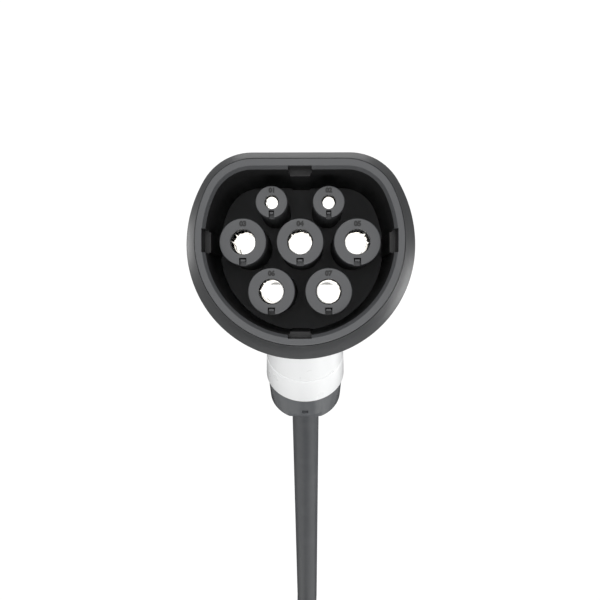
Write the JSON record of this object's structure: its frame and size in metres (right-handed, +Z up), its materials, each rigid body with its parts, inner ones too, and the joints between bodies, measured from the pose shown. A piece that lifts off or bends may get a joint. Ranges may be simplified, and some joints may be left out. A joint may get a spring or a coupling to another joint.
{
  "type": "vehicle charging connector with lead",
  "caption": "Hand-held charging connector with a D-shaped recessed mating face, slotted contact towers, a grip angled down and back, a gland and a coiled round lead with a round plug.",
  "frame": {"origin": "on the axis of the centre contact, in the plane of the rim that meets the vehicle", "axes": "+Y runs back into the connector, +Z up with the flat of the outline on top, +X to the right seen from the vehicle"},
  "size_m": [0.2003, 0.3984, 0.4582],
  "materials": {
    "head_plastic": "moulded, fine spark-eroded grain",
    "insulator_plastic": "moulded, satin",
    "grip_plastic": "moulded, satin gloss",
    "gland_plastic": "moulded, satin",
    "contact_silver": "turned, silver plated",
    "spring_steel": "bright spring wire",
    "screw_steel": "zinc plated",
    "seal_rubber": "moulded rubber",
    "clamp_plastic": "glass-filled moulding",
    "cable_sheath": "extruded, matt",
    "wire_brown": "extruded",
    "wire_black": "extruded",
    "wire_grey": "extruded",
    "wire_blue": "extruded",
    "wire_green_yellow": "extruded, striped",
    "wire_signal": "extruded",
    "resistor_body": "lacquered",
    "plug_plastic": "moulded, satin",
    "plug_pin_metal": "turned, plated"
  },
  "bodies": {
    "root": {"bezel_gasket": "seal_rubber", "cable_coil": "cable_sheath", "cable_run": "cable_sheath", "cable_sheath_end": "cable_sheath", "cable_tail": "cable_sheath", "clamp_base": "clamp_plastic", "clamp_saddle": "clamp_plastic", "clamp_screws": "screw_steel", "clamping_insert": "seal_rubber", "coding_resistor": "resistor_body", "conductor_cp": "wire_signal", "conductor_l1": "wire_brown", "conductor_l2": "wire_black", "conductor_l3": "wire_grey", "conductor_n": "wire_blue", "conductor_pe": "wire_green_yellow", "contact_carrier": "insulator_plastic", "contact_cp": "contact_silver", "contact_l1": "contact_silver", "contact_l2": "contact_silver", "contact_l3": "contact_silver", "contact_n": "contact_silver", "contact_pe": "contact_silver", "contact_pp": "contact_silver", "contact_retainer": "insulator_plastic", "contact_springs": "spring_steel", "contact_towers": "insulator_plastic", "coupling_nut": "plug_plastic", "front_bezel": "head_plastic", "gland_collar": "gland_plastic", "grip_end_ring": "grip_plastic", "lower_shell": "grip_plastic", "mating_shroud": "head_plastic", "plug_boot": "seal_rubber", "plug_insert": "insulator_plastic", "plug_pins": "plug_pin_metal", "plug_shell": "plug_plastic", "retainer_screws": "screw_steel", "shell_screws": "screw_steel", "upper_shell": "grip_plastic"}
  },
  "joints": []
}
